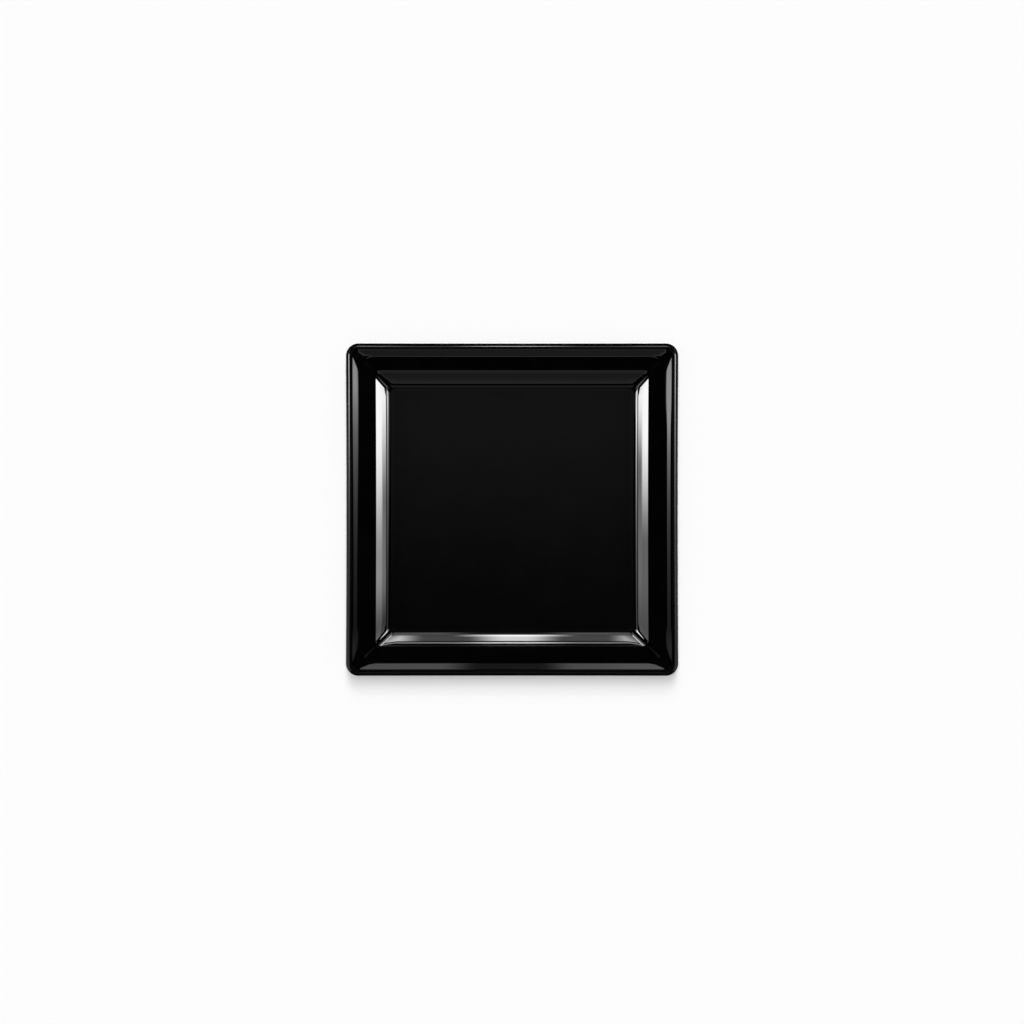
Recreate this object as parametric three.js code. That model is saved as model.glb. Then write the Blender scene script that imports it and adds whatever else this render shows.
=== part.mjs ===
// A square dinner plate, moulded in one piece: a flat well, a sloping wall, a wide flange,
// a raised lip with a narrow crest, a bevel that turns down into a skirt at the edge, and a
// low ring foot underneath.
// One section runs from the centre of the well out over the rim and back under to the centre.
// Every point of that section is drawn round the plate as a square with rounded corners.
// Millimetres, Z up, the foot stands on Z = 0 and the plate's centre is on the Z axis.
import * as THREE from "three";

// Widths across the section, from the outer edge inward.
const PLATE_WIDTH = 254;
const BEVEL_RUN = 2.35;
const CREST_WIDTH = 2.35;
const LIP_RUN = 4.65;
const FLANGE_RUN = 13.45;
const WALL_RUN = 9.05;
const FOOT_INSET = 5.7;
const FOOT_WIDTH = 2.6;

// Heights of the section, from the table up.
const FOOT_HEIGHT = 3;
const WELL_DEPTH = 8.3;
const FLANGE_RISE = 2.05;
const LIP_RISE = 1.93;
const BEVEL_FALL = 2.8;
const SKIRT_HEIGHT = 3.6;

// Thickness of the moulding and the slope of the foot's sides.
const SHELL = 2.2;
const FOOT_DRAFT = 0.3;

// Radii that round the corners of the section.
const WELL_ROUND = 6;
const SHOULDER_ROUND = 0.2;
const LIP_ROUND = 10;
const CREST_IN_ROUND = 6;
const CREST_OUT_ROUND = 1.8;
const EDGE_ROUND = 0.6;
const UNDER_ROUND = 0.8;

// Corner radii of the plate seen from above, at its main lines.
const PLATE_CORNER = 9.5;
const CREST_CORNER = 5;
const LIP_CORNER = 13;
const SHOULDER_CORNER = 1.5;
const WELL_CORNER = 5;

// How finely curves are divided: degrees of turn to a facet, facets to a corner in plan.
const TURN_STEP = 11;
const PLAN_FACETS = 8;

const GLOSS_BLACK = { color: 0x070707, roughness: 0.08, metalness: 0 };

// Places that several corners of the section share.
const EDGE = PLATE_WIDTH / 2;
const CREST_OUT = EDGE - BEVEL_RUN;
const CREST_IN = CREST_OUT - CREST_WIDTH;
const LIP_FOOT = CREST_IN - LIP_RUN;
const SHOULDER = LIP_FOOT - FLANGE_RUN;
const WELL = SHOULDER - WALL_RUN;
const FLOOR_TOP = FOOT_HEIGHT + SHELL;

// A corner of the section: distance from the plate's centre, height, rounding radius, and
// the rounding radius of the lower skin underneath it.
function corner(out, up, round = 0, roundUnder = UNDER_ROUND) {
  return { at: new THREE.Vector2(out, up), round, roundUnder };
}

// The upper skin's corners from the centre of the well over the crest to the skirt's edge.
function upperCorners() {
  const shoulderZ = FLOOR_TOP + WELL_DEPTH;
  const lipZ = shoulderZ + FLANGE_RISE;
  const crestZ = lipZ + LIP_RISE;
  const rimZ = crestZ - BEVEL_FALL;
  return [
    corner(0, FLOOR_TOP),
    corner(WELL, FLOOR_TOP, WELL_ROUND, WELL_ROUND + SHELL),
    corner(SHOULDER, shoulderZ, SHOULDER_ROUND),
    corner(LIP_FOOT, lipZ, LIP_ROUND, LIP_ROUND + SHELL),
    corner(CREST_IN, crestZ, CREST_IN_ROUND),
    corner(CREST_OUT, crestZ, CREST_OUT_ROUND),
    corner(EDGE, rimZ, EDGE_ROUND),
    corner(EDGE, rimZ - SKIRT_HEIGHT, EDGE_ROUND),
  ];
}

// The unit normal that points down and out of the section line from a to b.
function underNormal(a, b) {
  const along = b.clone().sub(a).normalize();
  return new THREE.Vector2(along.y, -along.x);
}

// The corner under b, one shell thickness below both of the lines that meet there.
function underCorner(a, b, c) {
  const first = underNormal(a.at, b.at);
  const second = underNormal(b.at, c.at);
  const reach = SHELL / (1 + first.dot(second));
  const at = b.at.clone().addScaledVector(first.add(second), reach);
  return { at, round: b.roundUnder };
}

// The lower skin's corners from the skirt's edge back to the centre, with the ring foot.
function lowerCorners(upper) {
  const skirtZ = upper[upper.length - 1].at.y;
  const between = upper.slice(1, -1);
  const under = between.map((b, i) => underCorner(upper[i], b, upper[i + 2])).reverse();
  const footOut = WELL - FOOT_INSET;
  const footIn = footOut - FOOT_WIDTH;
  return [
    corner(EDGE - SHELL, skirtZ, EDGE_ROUND),
    ...under,
    corner(footOut, FOOT_HEIGHT),
    corner(footOut - FOOT_DRAFT, 0),
    corner(footIn + FOOT_DRAFT, 0),
    corner(footIn, FOOT_HEIGHT),
    corner(0, FOOT_HEIGHT),
  ];
}

// The points of the arc that rounds corner b between its neighbours a and c.
function roundedCorner(a, b, c) {
  const back = a.at.clone().sub(b.at).normalize();
  const ahead = c.at.clone().sub(b.at).normalize();
  const turn = Math.PI - Math.acos(THREE.MathUtils.clamp(back.dot(ahead), -1, 1));
  const reach = b.round * Math.tan(turn / 2);
  const start = b.at.clone().addScaledVector(back, reach);
  const side = Math.sign(ahead.cross(back)) || 1;
  const centre = new THREE.Vector2(back.y, -back.x).multiplyScalar(side * b.round).add(start);
  const facets = Math.ceil(THREE.MathUtils.radToDeg(turn) / TURN_STEP);
  return Array.from({ length: facets + 1 }, (_, i) =>
    start.clone().rotateAround(centre, (side * turn * i) / facets));
}

// The whole section as points, its corners rounded where they have a radius.
function sectionPoints() {
  const upper = upperCorners();
  const corners = [...upper, ...lowerCorners(upper)];
  return corners.flatMap((b, i) =>
    b.round > 0 ? roundedCorner(corners[i - 1], b, corners[i + 1]) : [b.at]);
}

// The plan corner radius at a distance from the centre, between the plate's main lines.
function planCorner(out) {
  const lines = [
    [0, 0],
    [WELL, WELL_CORNER],
    [SHOULDER, SHOULDER_CORNER],
    [LIP_FOOT, LIP_CORNER],
    [CREST_IN, CREST_CORNER],
    [EDGE, PLATE_CORNER],
  ];
  const next = Math.max(1, lines.findIndex(([at]) => at >= out - 1e-9));
  const [fromAt, from] = lines[next - 1];
  const [toAt, to] = lines[next];
  return THREE.MathUtils.mapLinear(out, fromAt, toAt, from, to);
}

// One ring: the square of half width out with rounded corners, anticlockwise from above.
function ring(out, up) {
  const radius = planCorner(out);
  const square = new THREE.Path();
  for (let quarter = 0; quarter < 4; quarter += 1) {
    const middle = Math.PI / 4 + (quarter * Math.PI) / 2;
    const reach = (out - radius) * Math.SQRT2;
    const x = Math.cos(middle) * reach;
    const y = Math.sin(middle) * reach;
    square.absarc(x, y, radius, middle - Math.PI / 4, middle + Math.PI / 4, false);
  }
  return square.curves
    .filter((curve) => curve.isEllipseCurve)
    .flatMap((arc) => arc.getPoints(PLAN_FACETS))
    .map((point) => new THREE.Vector3(point.x, point.y, up));
}

// A closed skin over the rings, shut at both ends by a point on the plate's axis.
function skinOver(section) {
  const rings = section.slice(1, -1).map((point) => ring(point.x, point.y));
  const around = rings[0].length;
  const top = new THREE.Vector3(0, 0, section[0].y);
  const bottom = new THREE.Vector3(0, 0, section[section.length - 1].y);
  const points = [top, ...rings.flat(), bottom];
  const index = [];
  for (let i = 0; i < around; i += 1) {
    const next = (i + 1) % around;
    const last = 1 + (rings.length - 1) * around;
    index.push(0, 1 + i, 1 + next);
    index.push(last + next, last + i, points.length - 1);
    for (let j = 0; j < rings.length - 1; j += 1) {
      const here = 1 + j * around;
      const there = here + around;
      index.push(here + i, there + i, there + next);
      index.push(here + i, there + next, here + next);
    }
  }
  const skin = new THREE.BufferGeometry().setFromPoints(points);
  skin.setIndex(index);
  skin.computeVertexNormals();
  return skin;
}

function plate() {
  const mesh = new THREE.Mesh(
    skinOver(sectionPoints()),
    new THREE.MeshStandardMaterial(GLOSS_BLACK),
  );
  mesh.name = "plate";
  return mesh;
}

const part = new THREE.Group();
part.name = "square_plate";
part.add(plate());
export default part;
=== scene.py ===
# %% [markdown]
# # A gloss black square plate
# The real plate is one shot of black plastic from a polished mould: a flat well, a sloping wall, a wide
# flange, and a lip that turns down into a skirt at the edge. This lesson builds it as one closed surface
# on a parameter grid, gives it the finish of polished plastic, and lights it as a small studio would.
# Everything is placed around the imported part, in metres, with the foot standing on the table at Z = 0.

import bpy
import numpy as np
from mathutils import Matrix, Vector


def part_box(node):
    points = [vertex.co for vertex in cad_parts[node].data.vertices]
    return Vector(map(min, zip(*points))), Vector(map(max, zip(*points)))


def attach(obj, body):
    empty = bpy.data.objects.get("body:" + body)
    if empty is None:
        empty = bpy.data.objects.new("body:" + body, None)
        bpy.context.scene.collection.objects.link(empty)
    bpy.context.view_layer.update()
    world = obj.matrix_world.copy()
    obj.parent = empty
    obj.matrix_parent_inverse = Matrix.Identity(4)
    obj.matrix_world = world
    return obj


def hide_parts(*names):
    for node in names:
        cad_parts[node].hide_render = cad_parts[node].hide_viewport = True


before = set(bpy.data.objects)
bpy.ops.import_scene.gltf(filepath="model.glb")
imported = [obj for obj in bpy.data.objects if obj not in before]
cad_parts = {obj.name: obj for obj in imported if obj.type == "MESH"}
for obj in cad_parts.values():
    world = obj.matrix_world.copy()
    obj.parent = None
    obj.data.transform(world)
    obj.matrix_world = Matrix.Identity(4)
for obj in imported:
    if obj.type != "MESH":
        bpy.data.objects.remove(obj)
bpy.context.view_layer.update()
scene = bpy.context.scene

# %% [markdown]
# ## The sizes of the section
# A plate is easiest to think of as one section, drawn from the centre of the well out over the rim and
# back underneath. The widths and heights below are the ones that the solid part is built from, so the
# fine surface lies on the solid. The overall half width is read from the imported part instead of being
# written again. The other places follow, from the edge inward and from the table up.

# %% Widths and heights of the section
MM = 0.001
SHELL = 2.2 * MM

BEVEL_RUN = 2.35 * MM
CREST_WIDTH = 2.35 * MM
LIP_RUN = 4.65 * MM
FLANGE_RUN = 13.45 * MM
WALL_RUN = 9.05 * MM
FOOT_INSET = 5.7 * MM
FOOT_WIDTH = 2.6 * MM

FOOT_HEIGHT = 3.0 * MM
WELL_DEPTH = 8.3 * MM
FLANGE_RISE = 2.05 * MM
LIP_RISE = 1.93 * MM
BEVEL_FALL = 2.8 * MM
SKIRT_HEIGHT = 3.6 * MM

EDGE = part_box("plate")[1].x
CREST_OUT = EDGE - BEVEL_RUN
CREST_IN = CREST_OUT - CREST_WIDTH
LIP_FOOT = CREST_IN - LIP_RUN
SHOULDER = LIP_FOOT - FLANGE_RUN
WELL = SHOULDER - WALL_RUN
FOOT_OUT = WELL - FOOT_INSET
FOOT_IN = FOOT_OUT - FOOT_WIDTH

FLOOR_TOP = FOOT_HEIGHT + SHELL
SHOULDER_TOP = FLOOR_TOP + WELL_DEPTH
LIP_FOOT_TOP = SHOULDER_TOP + FLANGE_RISE
CREST_TOP = LIP_FOOT_TOP + LIP_RISE
RIM_TOP = CREST_TOP - BEVEL_FALL
SKIRT_END = RIM_TOP - SKIRT_HEIGHT
print("well reaches", round(WELL / MM, 1), "mm out, edge", round(EDGE / MM, 1), "mm out")
print("crest lies", round(CREST_TOP / MM, 2), "mm up")

# %% [markdown]
# ## The upper skin
# Drawing a section as a chain of corners, each with a rounding radius, is how a mould maker dimensions
# it. The chain runs from the centre of the well over the crest to the end of the skirt. Two forms that are
# too fine for the solid part join it here: a shallow belly in the wall, and the soft roll of the flange
# just before it drops into the well. Each is one more corner that turns by very little.

# %% Corners of the upper skin
WELL_ROUND = 6.0 * MM
SHOULDER_ROUND = 0.2 * MM
LIP_ROUND = 10.0 * MM
CREST_IN_ROUND = 6.0 * MM
CREST_OUT_ROUND = 1.1 * MM
EDGE_ROUND = 0.6 * MM

BELLY_AT = 0.576
BELLY_DEEP = 0.235 * MM
BELLY_ROUND = 112.0 * MM
ROLL_RUN = 2.3 * MM
ROLL_LIFT = 0.17 * MM
ROLL_ROUND = 5.0 * MM


def unit(rows):
    """Each row divided by its own length."""
    return rows / np.linalg.norm(rows, axis=-1, keepdims=True)


top_line = np.array([
    (0, FLOOR_TOP),
    (WELL, FLOOR_TOP),
    (SHOULDER, SHOULDER_TOP),
    (LIP_FOOT, LIP_FOOT_TOP),
    (CREST_IN, CREST_TOP),
    (CREST_OUT, CREST_TOP),
    (EDGE, RIM_TOP),
    (EDGE, SKIRT_END),
])
top_rounds = np.array([0, WELL_ROUND, SHOULDER_ROUND, LIP_ROUND, CREST_IN_ROUND, CREST_OUT_ROUND,
                       EDGE_ROUND, EDGE_ROUND])

wall_base, wall_top, flange_end = top_line[1:4]
wall_along = unit(wall_top - wall_base)
into_wall = np.array([wall_along[1], -wall_along[0]])
belly = wall_base + BELLY_AT * (wall_top - wall_base) + BELLY_DEEP * into_wall
roll = wall_top + (flange_end - wall_top) * ROLL_RUN / FLANGE_RUN + np.array([0, ROLL_LIFT])

upper_skin = np.column_stack([top_line, top_rounds])
upper_skin = np.insert(upper_skin, [2, 3], [(*belly, BELLY_ROUND), (*roll, ROLL_ROUND)], axis=0)
print("corners above:", len(upper_skin))

# %% [markdown]
# ## The lower skin
# A moulding cools evenly when it is one thickness throughout, so the lower skin follows the upper one a
# shell away. At a corner that is a mitre: the sum of the two sides' normals, stretched until it clears
# both. Then come the ring foot that the plate stands on and, in the middle, the small sunken mark where
# the plastic was let into the mould, with the stub of the gate inside it.

# %% Corners of the lower skin
UNDER_ROUND = 0.8 * MM
FOOT_DRAFT = 0.3 * MM
FOOT_ROUND = 0.3 * MM
GATE_OUT = 5.0 * MM
GATE_DEEP = 0.5 * MM
GATE_ROUND = 0.2 * MM
STUB_OUT = 1.6 * MM
STUB_DRAFT = 0.2 * MM
STUB_SUNK = 0.1 * MM
STUB_ROUND = 0.15 * MM


def one_shell_below(line):
    """For each inner corner of a line: the downward normals of its two sides, added and stretched until
    the point clears both sides by one shell."""
    sides = unit(np.diff(line, axis=0))
    normals = np.stack([sides[:, 1], -sides[:, 0]], axis=1)
    before, after = normals[:-1], normals[1:]
    stretch = SHELL / (1 + (before * after).sum(1, keepdims=True))
    return line[1:-1] + (before + after) * stretch


under_rounds = np.array([UNDER_ROUND, UNDER_ROUND, UNDER_ROUND, LIP_ROUND + SHELL, UNDER_ROUND,
                         WELL_ROUND + SHELL])
skirt_inside = [(EDGE - SHELL, SKIRT_END, EDGE_ROUND)]
under_line = np.column_stack([one_shell_below(top_line)[::-1], under_rounds])
foot_and_gate = [
    (FOOT_OUT, FOOT_HEIGHT, FOOT_ROUND),
    (FOOT_OUT - FOOT_DRAFT, 0, FOOT_ROUND),
    (FOOT_IN + FOOT_DRAFT, 0, FOOT_ROUND),
    (FOOT_IN, FOOT_HEIGHT, FOOT_ROUND),
    (GATE_OUT, FOOT_HEIGHT, GATE_ROUND),
    (GATE_OUT - GATE_DEEP, FOOT_HEIGHT + GATE_DEEP, GATE_ROUND),
    (STUB_OUT, FOOT_HEIGHT + GATE_DEEP, STUB_ROUND),
    (STUB_OUT - STUB_DRAFT, FOOT_HEIGHT + STUB_SUNK, STUB_ROUND),
    (0, FOOT_HEIGHT + STUB_SUNK, 0),
]
lower_skin = np.concatenate([skirt_inside, under_line, foot_and_gate])
print("corners below:", len(lower_skin))

# %% [markdown]
# ## Rounding the section
# A polished moulding has no sharp line anywhere: every corner is an arc that touches both of its sides.
# A bevel modifier could round the finished mesh, but its steps would show in the mirror-like gloss. Here
# the arcs are worked out exactly. The straight stretches get points that crowd towards their ends, which
# keeps the smooth shading of an arc from leaking into the flat beside it.

# %% Section points
ARC_STEPS = 14
STRAIGHT_STEPS = 9


def rounded_section(chain):
    """Every inner corner becomes an arc: it starts radius * tan(turn / 2) before the corner and sweeps the
    turn round its centre. The straights between arcs are cut at cosine spacing."""
    at, radius = chain[:, :2], chain[1:-1, 2:]
    here = at[1:-1]
    back, ahead = unit(at[:-2] - here), unit(at[2:] - here)
    turn = np.pi - np.arccos(np.clip((back * ahead).sum(1, keepdims=True), -1, 1))
    side = np.sign(ahead[:, :1] * back[:, 1:] - ahead[:, 1:] * back[:, :1])
    start = here + back * radius * np.tan(turn / 2)
    centre = start + side * radius * np.stack([back[:, 1], -back[:, 0]], axis=1)
    sweep = side * turn * np.linspace(0, 1, ARC_STEPS + 1)
    arm = (start - centre)[:, None, :]
    turned = np.stack([
        np.cos(sweep) * arm[..., 0] - np.sin(sweep) * arm[..., 1],
        np.sin(sweep) * arm[..., 0] + np.cos(sweep) * arm[..., 1],
    ], axis=-1)
    arcs = centre[:, None, :] + turned
    leave = np.concatenate([at[:1], arcs[:, -1]])
    arrive = np.concatenate([arcs[:, 0], at[-1:]])
    share = (1 - np.cos(np.linspace(0, np.pi, STRAIGHT_STEPS + 2)[1:-1])) / 2
    straights = leave[:, None] + (arrive - leave)[:, None] * share[None, :, None]
    body = np.concatenate([arcs, straights[1:]], axis=1).reshape(-1, 2)
    return np.concatenate([straights[0], body])


section = rounded_section(np.concatenate([upper_skin, lower_skin]))
edge_row = int(np.argmax(section[:, 0]))
print("section points:", len(section), "outermost at row", edge_row)

# %% [markdown]
# ## The path round the plate
# Seen from above, every point of the section runs round the plate as a square with rounded corners. All
# those squares share one path in unit parts, so it is worked out once. Moulded sides also draw in a little
# as they cool, and each side is bowed in by under half a millimetre.

# %% Rounded square
SIDE_STEPS = 26
CORNER_STEPS = 14
BACK_BOW, LEFT_BOW, FRONT_BOW, RIGHT_BOW = 0.1 * MM, 0.4 * MM, 0.1 * MM, 0.4 * MM


def rounded_square():
    """Unit parts of a rounded square, in order round it. A point is (half width - radius) * square
    + radius * outward, drawn in by bow: a side's own bow times 1 - s * s along it, with s from -1 to 1,
    and 0 on a corner."""
    quarter = np.arange(4)[:, None] * np.pi / 2
    turn = quarter + np.linspace(0, np.pi / 2, CORNER_STEPS + 1)[None, :]
    middle = quarter + np.pi / 4
    corner = np.sign(np.stack([np.cos(middle), np.sin(middle)], axis=-1))
    s = np.linspace(-1, 1, SIDE_STEPS + 1)[1:-1]
    ahead = np.roll(corner, -1, axis=0)
    run = corner + (ahead - corner) * ((s + 1) / 2)[None, :, None]
    facing = np.broadcast_to(quarter + np.pi / 2, (4, len(s)))
    angle = np.concatenate([turn, facing], axis=1).ravel()
    square = np.concatenate([np.repeat(corner, CORNER_STEPS + 1, axis=1), run], axis=1)
    side_bows = np.array([BACK_BOW, LEFT_BOW, FRONT_BOW, RIGHT_BOW])
    bow = (side_bows[:, None] * np.concatenate([np.zeros(CORNER_STEPS + 1), 1 - s * s])).ravel()
    return square.reshape(-1, 2), np.stack([np.cos(angle), np.sin(angle)], axis=1), bow


square, outward, bow = rounded_square()
print("points round the plate:", len(square))

# %% [markdown]
# ## Carrying the section round
# The corner radius differs from line to line: broad at the outer edge and at the foot of the lip, tight at
# the crest and along the wall, which gives the pointed shapes where reflections meet in a corner. The top
# of the wall turns its corners softer here than the plain solid does. Underneath, the square closes to a
# circle at the gate mark.

# %% Surface grid
WELL_CORNER = 5.0 * MM
SHOULDER_CORNER = 4.6 * MM
LIP_CORNER = 13.0 * MM
CREST_CORNER = 5.0 * MM
PLATE_CORNER = 9.5 * MM
GATE_CORNER = 0.96 * GATE_OUT


def corner_radius(out, is_under):
    """Plan radius by straight lines between the plate's main lines, and under the middle from the foot to
    the gate mark and on to nothing at the centre."""
    lines = [0, WELL, SHOULDER, LIP_FOOT, CREST_IN, EDGE]
    above = np.interp(out, lines, [0, WELL_CORNER, SHOULDER_CORNER, LIP_CORNER, CREST_CORNER, PLATE_CORNER])
    foot_corner = WELL_CORNER * FOOT_OUT / WELL
    middle = np.interp(out, [0, GATE_OUT, FOOT_OUT], [0, GATE_CORNER, foot_corner])
    return np.where(is_under & (out < FOOT_OUT), middle, above)


def plate_points():
    """Grid of points, section row by place round the plate: (out - radius) * square + (radius - bow)
    * outward, at the row's height. The bow fades to nothing at the centre."""
    out, up = section[:, 0], section[:, 1]
    radius = corner_radius(out, np.arange(len(out)) > edge_row)
    drawn_in = (out / EDGE)[:, None] * bow[None, :]
    plan = (out - radius)[:, None, None] * square + (radius[:, None] - drawn_in)[..., None] * outward
    return np.concatenate([plan, np.broadcast_to(up[:, None, None], plan.shape[:2] + (1,))], axis=2)


grid = plate_points()
print("surface grid:", grid.shape[:2])

# %% [markdown]
# ## From the grid to a mesh
# The grid becomes quads, closed round the plate, and a fan of triangles shuts the small ring left at the
# middle of each skin. foreach_set writes whole arrays into the mesh at once, which is quick and keeps the
# index arithmetic in one place. The surface runs outward above and inward below, so its faces point out.

# %% Plate mesh


def closed_mesh(name, rows):
    """Quads between neighbouring rows, wrapped round, and a fan that shuts the first and the last row."""
    n_rows, n_round = rows.shape[:2]
    middles = np.stack([rows[0].mean(0), rows[-1].mean(0)])
    points = np.concatenate([rows.reshape(-1, 3), middles])
    here = np.arange(n_round)
    there = np.roll(here, -1)
    base = (np.arange(n_rows - 1) * n_round)[:, None]
    quads = np.stack([base + here, base + n_round + here, base + n_round + there, base + there], axis=-1)
    first, last = len(points) - 2, len(points) - 1
    end = (n_rows - 1) * n_round
    fans = np.concatenate([
        np.stack([np.full(n_round, first), here, there], axis=1),
        np.stack([end + there, end + here, np.full(n_round, last)], axis=1),
    ])
    loops = np.concatenate([quads.ravel(), fans.ravel()])
    starts = np.concatenate([
        np.arange(quads.size // 4) * 4,
        quads.size + np.arange(len(fans)) * 3,
    ])
    mesh = bpy.data.meshes.new(name)
    mesh.vertices.add(len(points))
    mesh.vertices.foreach_set("co", points.astype(np.float32).ravel())
    mesh.loops.add(len(loops))
    mesh.loops.foreach_set("vertex_index", loops.astype(np.int32))
    mesh.polygons.add(len(starts))
    mesh.polygons.foreach_set("loop_start", starts.astype(np.int32))
    mesh.update(calc_edges=True)
    mesh.shade_smooth()
    return mesh


plate = bpy.data.objects.new("plate_shell", closed_mesh("plate_shell", grid))
scene.collection.objects.link(plate)
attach(plate, "root")
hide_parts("plate")
print("plate faces:", len(plate.data.polygons))

# %% [markdown]
# ## Writing shaders as sums
# Node trees are easier to read as formulas. A small class wraps an output socket, so that adding or
# multiplying two of them places a Math node, and one method makes any other node from its type, its
# settings and its inputs.

# %% Shader arithmetic


class Wire:
    """An output socket that can be used in arithmetic."""

    def __init__(self, tree, socket=None):
        self.tree, self.socket = tree, socket

    def node(self, kind, settings=None, inputs=None, output=0):
        """Adds a node of this type: settings first, then values or links by socket name or number."""
        made = self.tree.nodes.new(kind)
        for key, value in (settings or {}).items():
            setattr(made, key, value)
        for key, value in (inputs or {}).items():
            if isinstance(value, Wire):
                self.tree.links.new(value.socket, made.inputs[key])
            else:
                made.inputs[key].default_value = value
        return Wire(self.tree, made.outputs[output]) if len(made.outputs) else made

    def math(self, operation, *values):
        """A Math node of this operation on Wires or plain numbers."""
        return self.node("ShaderNodeMath", {"operation": operation}, dict(enumerate(values)))

    def __add__(self, other):
        return self.math("ADD", self, other)

    def __radd__(self, other):
        return self.math("ADD", other, self)

    def __sub__(self, other):
        return self.math("SUBTRACT", self, other)

    def __rsub__(self, other):
        return self.math("SUBTRACT", other, self)

    def __mul__(self, other):
        return self.math("MULTIPLY", self, other)

    def __rmul__(self, other):
        return self.math("MULTIPLY", other, self)

    def __abs__(self):
        return self.math("ABSOLUTE", self)

    def higher(self, other):
        """The greater of this value and another."""
        return self.math("MAXIMUM", self, other)

    def lower(self, other):
        """The smaller of this value and another."""
        return self.math("MINIMUM", self, other)

    def step(self, low, high):
        """0 below low, 1 above high, with a smooth rise between."""
        settings = {"interpolation_type": "SMOOTHSTEP"}
        return self.node("ShaderNodeMapRange", settings, {0: self, 1: low, 2: high, 3: 0.0, 4: 1.0})

    def band(self, middle, width):
        """1 at middle, falling smoothly to 0 at width on either side."""
        return 1 - abs(self - middle).step(0.0, width)

    def axis(self, name):
        """One coordinate of a vector."""
        return self.node("ShaderNodeSeparateXYZ", None, {0: self}, name)

    def blend(self, low, high):
        """A colour between low and high, by this value."""
        settings = {"data_type": "RGBA"}
        return self.node("ShaderNodeMix", settings, {"Factor": self, 6: low, 7: high}, 2)


def new_material(name):
    """An empty node material and a Wire to start from."""
    material = bpy.data.materials.new(name)
    material.use_nodes = True
    material.node_tree.nodes.clear()
    return material, Wire(material.node_tree)


print("shader arithmetic ready")

# %% [markdown]
# ## Where the plate is worn
# What makes a surface plastic and not lacquer is fine: a cloth leaves hairlines in the well, and the crest
# is rubbed where plates are stacked. Where that happens follows from the plate's own sizes, so each place
# is a mask worked out from the object's coordinates, and the finish below adds them up.

# %% Masks of wear
WIPE_TURN = 0.6
LINE_STRETCH = (26.0, 1900.0, 26.0)


def worn_places(place):
    """Three masks: the well's floor, the rubbed crest, and the underside. The distance out is the greater
    of the distances along X and Y, as on nested squares."""
    x, y, z = (place.axis(name) for name in "XYZ")
    out = abs(x).higher(abs(y))
    above = z.step(FOOT_HEIGHT + 0.5 * MM, FLOOR_TOP - 0.5 * MM)
    in_well = (1 - out.step(WELL - 8 * MM, WELL + 2 * MM)) * above
    on_crest = out.band((CREST_IN + CREST_OUT) / 2, 2.2 * MM)
    rubbed = on_crest * z.step(CREST_TOP - 1.2 * MM, CREST_TOP - 0.2 * MM)
    return in_well, rubbed, 1 - above


def hairlines(place, haze):
    """Thin slanted lines: the peaks of a noise drawn out along one way, where the haze is high as well."""
    turned = place.node("ShaderNodeMapping", None, {"Vector": place, "Rotation": (0, 0, WIPE_TURN)})
    drawn_out = place.node("ShaderNodeVectorMath", {"operation": "MULTIPLY"}, {0: turned, 1: LINE_STRETCH})
    lines = place.node("ShaderNodeTexNoise", None, {"Vector": drawn_out, "Scale": 1.0, "Detail": 2.0})
    return lines.step(0.66, 0.74) * haze.step(0.45, 0.6)


print("hairlines lie at", round(np.degrees(WIPE_TURN)), "degrees")

# %% [markdown]
# ## Polished black plastic
# Black plastic from a polished mould mirrors what stands round it in a few parts in a hundred, and its
# own colour is almost nothing. Its skin is very slightly wavy where it shrank, and it is duller where it
# is worn. The colour, the roughness and a faint bump carry that, and no shape depends on them.

# %% Plastic finish
DEEP_BLACK = (0.0003, 0.0003, 0.0004, 1)
WORN_BLACK = (0.0016, 0.0016, 0.0015, 1)
PLASTIC_IOR = 1.5


def black_plastic():
    """A gloss over near black. Shade and roughness are sums of the haze and the masks of wear."""
    material, wire = new_material("gloss_black")
    place = wire.node("ShaderNodeTexCoord", output="Object")
    haze = wire.node("ShaderNodeTexNoise", None, {"Vector": place, "Scale": 38.0, "Detail": 4.0})
    cloud = haze.step(0.35, 0.75)
    in_well, rubbed, underside = worn_places(place)
    scuffed = hairlines(place, haze) * in_well

    shade = 0.25 + 0.35 * cloud + 0.5 * rubbed + 0.4 * scuffed
    dullness = 0.03 + 0.012 * cloud + 0.04 * in_well + 0.05 * rubbed + 0.12 * scuffed + 0.16 * underside
    swell = wire.node("ShaderNodeTexNoise", None, {"Vector": place, "Scale": 22.0, "Detail": 1.5})
    bump = wire.node("ShaderNodeBump", None, {"Height": swell, "Strength": 0.02, "Distance": 0.002})
    shader = wire.node("ShaderNodeBsdfPrincipled", None, {
        "Base Color": shade.blend(DEEP_BLACK, WORN_BLACK),
        "Roughness": dullness,
        "Normal": bump,
        "IOR": PLASTIC_IOR,
    })
    wire.node("ShaderNodeOutputMaterial", None, {"Surface": shader})
    return material


plate.data.materials.append(black_plastic())
print("finish:", plate.data.materials[0].name)

# %% [markdown]
# ## The table
# A white sweep under the plate is all the set there is. It is plain and pale, runs far past the picture,
# and takes the plate's soft shadow. A third of what the camera sees of it is plain white, which keeps the
# paper pale right to the picture's edge.

# %% Table
TABLE_HALF = 40.0
PAPER_WHITE = (0.93, 0.93, 0.93, 1)
PLAIN_SHARE = 0.36


def flat_card(name, corner, along, up):
    """A four-cornered card: corner + s * along + t * up, with s and t each 0 or 1."""
    corner, along, up = (np.array(v, float) for v in (corner, along, up))
    points = corner + np.array([[0, 0], [1, 0], [1, 1], [0, 1]]) @ np.array([along, up])
    mesh = bpy.data.meshes.new(name)
    mesh.from_pydata(points.tolist(), [], [(0, 1, 2, 3)])
    card = bpy.data.objects.new(name, mesh)
    scene.collection.objects.link(card)
    return card


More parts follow.
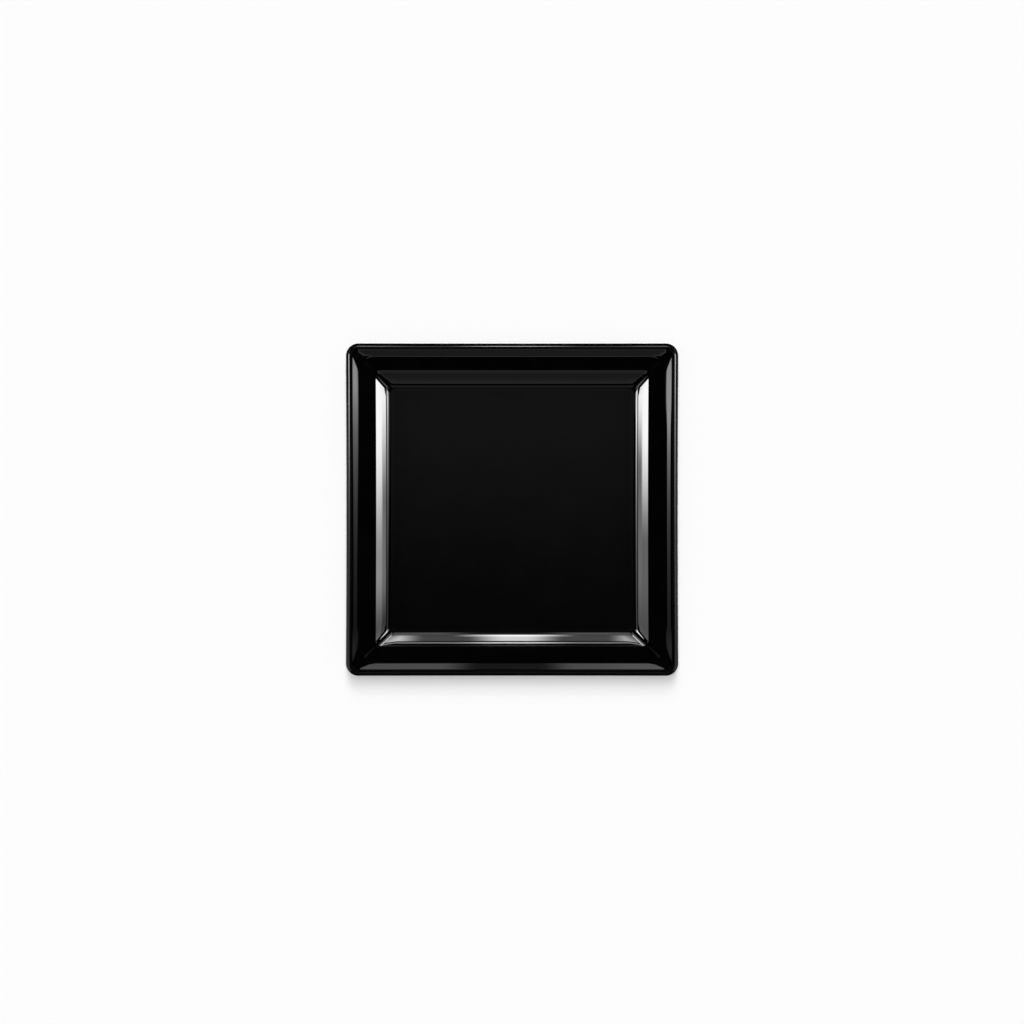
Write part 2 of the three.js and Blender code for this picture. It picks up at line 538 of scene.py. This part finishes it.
def ray_kinds(wire):
    """Three switches, each 1 on rays of its kind: from the camera, mirrored, and passed through."""
    names = ("Is Camera Ray", "Is Glossy Ray", "Is Transmission Ray")
    return [wire.node("ShaderNodeLightPath", output=name) for name in names]


def white_table():
    """Lit paper, mixed with plain white where the camera or a mirror sees it."""
    material, wire = new_material("white_table")
    paper = wire.node("ShaderNodeBsdfDiffuse", None, {"Color": PAPER_WHITE})
    white = wire.node("ShaderNodeEmission", None, {"Color": (1, 1, 1, 1), "Strength": 1.0})
    camera_ray, mirrored_ray, passed_ray = ray_kinds(wire)
    seen = camera_ray.higher(mirrored_ray).higher(passed_ray)
    shader = wire.node("ShaderNodeMixShader", None, {0: seen * PLAIN_SHARE, 1: paper, 2: white})
    wire.node("ShaderNodeOutputMaterial", None, {"Surface": shader})
    return material


table = flat_card("table", (-TABLE_HALF, -TABLE_HALF, 0), (2 * TABLE_HALF, 0, 0), (0, 2 * TABLE_HALF, 0))
table.data.materials.append(white_table())
print("table:", 2 * TABLE_HALF, "m square")

# %% [markdown]
# ## The suns
# The shadow lies only in front of the plate, so the light falls from above and behind. Three wide suns
# stacked in one upright plane give it its long soft fade without darkening the table left and right. They
# light the table and the plate's colour, while what the gloss mirrors is set up by the cards below.

# %% Suns


def sun(name, height_deg, strength, spread_deg):
    """A sun behind the plate, this many degrees above the table, aimed at the middle of the plate."""
    lamp = bpy.data.lights.new(name, "SUN")
    lamp.energy = strength
    lamp.angle = np.radians(spread_deg)
    holder = bpy.data.objects.new(name, lamp)
    holder.rotation_euler = (np.radians(height_deg - 90), 0, 0)
    holder.visible_glossy = False
    scene.collection.objects.link(holder)
    return holder


suns = [sun("low_sun", 44, 0.8, 16), sun("middle_sun", 60, 1.1, 18), sun("high_sun", 80, 1.3, 20)]
print("suns:", [holder.name for holder in suns])

# %% [markdown]
# ## The room
# Past the table the camera sees plain white, and so do mirrors close to the horizon. Elsewhere the room
# is dim: a little fill for the table's shadow, and next to nothing in the gloss, so that the cards alone
# draw the plate's highlights.

# %% Room
FILL_LIGHT = 0.16
FILL_IN_GLOSS = 0.004
HORIZON = (0.01, 0.03)


def studio_room():
    """The greater of plain white, for the camera and for low mirrored rays, and the fill."""
    world = bpy.data.worlds.new("studio")
    world.use_nodes = True
    world.node_tree.nodes.clear()
    wire = Wire(world.node_tree)
    height = wire.node("ShaderNodeTexCoord", output="Generated").axis("Z")
    camera_ray, mirrored_ray, passed_ray = ray_kinds(wire)
    mirrored = mirrored_ray.higher(passed_ray)
    seen = camera_ray.higher(mirrored * (1 - height.step(*HORIZON)))
    fill = (1 - mirrored) * FILL_LIGHT + mirrored * FILL_IN_GLOSS
    back = wire.node("ShaderNodeBackground", None, {"Color": seen.higher(fill), "Strength": 1.0})
    wire.node("ShaderNodeOutputWorld", None, {"Surface": back})
    return world


scene.world = studio_room()
print("room:", scene.world.name)

# %% [markdown]
# ## What the gloss mirrors
# On polished black nearly everything that is seen is a reflection. So the studio's soft boxes are modelled
# as glowing cards round the plate, each with its own fade along and up, as a soft box seen at a slant has.
# They show only in reflections: the table and the camera don't see them.

# %% Glowing cards


def glow(name, formula):
    """A glowing card finish: formula takes x, y, z as Wires and gives the brightness."""
    material, wire = new_material(name)
    place = wire.node("ShaderNodeTexCoord", output="Object")
    brightness = formula(*(place.axis(axis) for axis in "XYZ"))
    shader = wire.node("ShaderNodeEmission", None, {"Color": brightness, "Strength": 1.0})
    wire.node("ShaderNodeOutputMaterial", None, {"Surface": shader})
    return material


def light_card(name, corner, along, up, formula):
    """A card that shows only in reflections, so that it doesn't wash out the table."""
    card = flat_card(name, corner, along, up)
    card.data.materials.append(glow(name, formula))
    card.visible_camera = False
    card.visible_diffuse = False
    card.visible_shadow = False
    return card


def side_card(name, x, span, heights, formula):
    """An upright card at this x, over a span of y and between two heights."""
    along, up = span[1] - span[0], heights[1] - heights[0]
    return light_card(name, (x, span[0], heights[0]), (0, along, 0), (0, 0, up), formula)


def end_card(name, y, span, heights, formula):
    """An upright card at this y, over a span of x and between two heights."""
    along, up = span[1] - span[0], heights[1] - heights[0]
    return light_card(name, (span[0], y, heights[0]), (along, 0, 0), (0, 0, up), formula)


print("cards show in reflections only")

# %% [markdown]
# ## Low cards for the walls
# The wall slopes at about forty degrees, so from above it mirrors what stands low on the opposite side:
# its top mirrors the foot of a card and its base the head. The cards left and right are bright to the
# rear. The one behind has a bright core between two bright ends, over a thin line at its foot, and the one
# in front is dim. The far ends, which only slanting views mirror, fall away.

# %% Low cards
LOW_AWAY = 0.60
SIDE_LOW_SPAN, SIDE_LOW_HEIGHTS = (-0.42, 0.45), (0.02, 0.150)
END_LOW_SPAN = (-0.42, 0.42)
BACK_LOW_HEIGHTS, FRONT_LOW_HEIGHTS = (0.02, 0.375), (0.02, 0.235)


def far_end(place):
    """1 along the stretch that the plate's walls mirror, falling to a tenth beyond either end of it."""
    return 1 - 0.9 * abs(place).step(0.16, 0.24)


def along_side(y, front, middle, rear, rise):
    """Front at the front end, middle along most of the card, rear beyond the rise."""
    return front + (middle - front) * y.step(-0.13, -0.065) + (rear - middle) * y.step(*rise)


def foot_to_head(z, lower, upper):
    """Lower at the card's foot, upper at its head."""
    return lower + (upper - lower) * z.step(0.09, 0.115)


def right_low(x, y, z):
    """Bright to the rear. Higher up the bright part ends further to the rear."""
    lower = along_side(y, 1.6, 5.6, 20.0, (-0.055, 0.09))
    upper = along_side(y, 0.5, 3.2, 20.0, (0.005, 0.135))
    return foot_to_head(z, lower, upper) * far_end(y)


def left_low(x, y, z):
    """As on the right, with an even and dimmer front half."""
    lower = along_side(y, 1.6, 2.5, 20.0, (-0.04, 0.09))
    upper = along_side(y, 1.6, 3.0, 20.0, (0.04, 0.13))
    return foot_to_head(z, lower, upper) * far_end(y)


def back_low(x, y, z):
    """A thin line, a dark gap and a core that widens upward, between two bright ends."""
    away = abs(x - 0.003)
    line = (7.0 + 16.0 * (1 - away.step(0.015, 0.065))) * z.band(0.068, 0.0085)
    core = 12.5 * (1 - away.step(0.01, 0.05)) * z.step(0.087, 0.096)
    top = 9.0 * (1 - away.step(0.035, 0.065)) * z.step(0.135, 0.15)
    ends = (14.0 * (0 - x).step(0.09, 0.13) + 9.0 * x.step(0.098, 0.125)) * far_end(x)
    ends = ends * (1 - 0.55 * z.step(0.15, 0.19))
    wash = (1.25 + ends) * (1 - 0.4 * z.step(0.21, 0.27))
    return (wash + core + top) * z.step(0.084, 0.092) + line


def front_low(x, y, z):
    """Dim, and a little brighter higher up."""
    return 0.19 + 0.2 * z.step(0.07, 0.17)


low_cards = [
    side_card("right_low_card", LOW_AWAY, SIDE_LOW_SPAN, SIDE_LOW_HEIGHTS, right_low),
    side_card("left_low_card", -LOW_AWAY, SIDE_LOW_SPAN, SIDE_LOW_HEIGHTS, left_low),
    end_card("back_low_card", LOW_AWAY, END_LOW_SPAN, BACK_LOW_HEIGHTS, back_low),
    end_card("front_low_card", -LOW_AWAY, END_LOW_SPAN, FRONT_LOW_HEIGHTS, front_low),
]
print("low cards:", len(low_cards))

# %% [markdown]
# ## Middle cards for the lip
# The lip slopes half as steeply as the wall and mirrors what hangs half way up. The cards left and right
# fade to the front by a constant share per length, as a strip light seen from one end does. The card
# behind is dark in the middle, which parts the front lip's highlight in two.

# %% Middle cards
MID_AWAY = 0.46
SIDE_MID_SPAN, END_MID_SPAN = (-0.3, 0.22), (-0.22, 0.22)
MID_HEIGHTS, FRONT_MID_HEIGHTS = (0.30, 1.92), (0.60, 1.92)


def side_mid(y, z, level, pace, front, top):
    """Falls off to the front by a constant share per length, and upward until top."""
    along = (y.math("EXPONENT", y * pace) * level).lower(15.0) + front
    along = along + 1.0 * (1 - y.step(-0.165, -0.13))
    return along * (1.35 - 0.95 * z.step(0.50, 0.64)) * (1 - z.step(0.66, top))


def front_lift(y):
    """How much higher a side card reaches at its front end."""
    return 0.62 * (1 - y.step(-0.155, -0.125))


def right_mid(x, y, z):
    """Its top rises steadily to the rear."""
    top = (0.95 + 3.5 * y).higher(0.75).lower(1.35) + front_lift(y)
    return side_mid(y, z, 1.7, 16.0, 0.25, top)


def left_mid(x, y, z):
    """Its top rises only near the rear end."""
    top = 0.72 + 0.6 * y.step(0.085, 0.145) + front_lift(y)
    return side_mid(y, z, 2.6, 18.5, 0.5, top)


def back_mid(x, y, z):
    """Dark in the middle except low down, and ending a little above the height that the lip mirrors."""
    away = abs(x + 0.004)
    dim = (1 - away.step(0.035, 0.075)) * z.step(0.42, 0.52)
    return (1.7 - 1.5 * dim + 0.4 * x.step(0.08, 0.15)) * (1 - z.step(1.0, 1.35))


def front_mid(x, y, z):
    """Dim, brighter in two steps towards its upper end."""
    return (0.24 + 0.1 * z.step(1.2, 1.4) + 0.4 * z.step(1.5, 1.65)) * (1 - z.step(1.8, 1.92))


mid_cards = [
    side_card("right_mid_card", MID_AWAY, SIDE_MID_SPAN, MID_HEIGHTS, right_mid),
    side_card("left_mid_card", -MID_AWAY, SIDE_MID_SPAN, MID_HEIGHTS, left_mid),
    end_card("back_mid_card", MID_AWAY, END_MID_SPAN, MID_HEIGHTS, back_mid),
    end_card("front_mid_card", -MID_AWAY, END_MID_SPAN, FRONT_MID_HEIGHTS, front_mid),
]
print("middle cards:", len(mid_cards))

# %% [markdown]
# ## Flags and the card overhead
# The bevel and the skirt would mirror the white table close by and turn pale, so low dark flags stand
# round the plate, as a photographer sets black card beside gloss. Straight above hangs one wide dim card:
# the flat well mirrors it, and its slow rise to the rear is all that lights the floor.

# %% Flags and overhead
FLAG_AWAY = 0.16
FLAG_SPAN = (-0.2, 0.2)
FLAG_HEIGHTS, BACK_FLAG_HEIGHTS = (0.0, 0.014), (0.0, 0.026)
OVERHEAD_UP = 2.6
OVERHEAD_HALF = 0.5


def dark_flag(x, y, z):
    """All but black: it keeps the white table out of an edge's reflection."""
    return 0.5 * z


def side_flag(x, y, z):
    """Dark, and a little paler towards the front."""
    return 0.1 + 0.35 * (1 - y.step(0.03, 0.12))


def overhead(x, y, z):
    """A square patch with soft edges that brightens to the rear."""
    patch = 1 - abs(x).higher(abs(y)).step(0.2, 0.24)
    return (0.03 + 0.14 * y.step(-0.2, 0.25)) * patch


flags = [
    end_card("front_flag", -FLAG_AWAY, FLAG_SPAN, FLAG_HEIGHTS, dark_flag),
    end_card("back_flag", FLAG_AWAY, FLAG_SPAN, BACK_FLAG_HEIGHTS, dark_flag),
    side_card("right_flag", FLAG_AWAY, FLAG_SPAN, FLAG_HEIGHTS, side_flag),
    side_card("left_flag", -FLAG_AWAY, FLAG_SPAN, FLAG_HEIGHTS, side_flag),
]
light_card("overhead_card", (-OVERHEAD_HALF, -OVERHEAD_HALF, OVERHEAD_UP), (2 * OVERHEAD_HALF, 0, 0),
           (0, 2 * OVERHEAD_HALF, 0), overhead)
print("flags:", len(flags), "and one card", OVERHEAD_UP, "m up")

# %% [markdown]
# ## The camera
# The picture looks straight down from far off, with a long lens, so the plate's sides stay parallel. The
# height follows from the plate's share of the picture, and a shift of a couple of millimetres puts it
# where it lies in the frame.

# %% Camera
PICTURE_PIXELS = 1024
PLATE_PIXELS = 332.3
SHIFT_PIXELS = (-0.1, -2.4)
LENS = 100.0
SENSOR = 36.0
OUTLINE_HEIGHT = 14 * MM
pixel = 2 * EDGE / PLATE_PIXELS
eye_height = OUTLINE_HEIGHT + PICTURE_PIXELS * pixel * LENS / SENSOR
camera = bpy.data.objects.new("camera", bpy.data.cameras.new("camera"))
camera.data.lens = LENS
camera.data.sensor_width = SENSOR
camera.location = (SHIFT_PIXELS[0] * pixel, SHIFT_PIXELS[1] * pixel, eye_height)
scene.collection.objects.link(camera)
scene.camera = camera
scene.view_settings.view_transform = "Standard"
print("camera height:", round(eye_height, 3), "m")
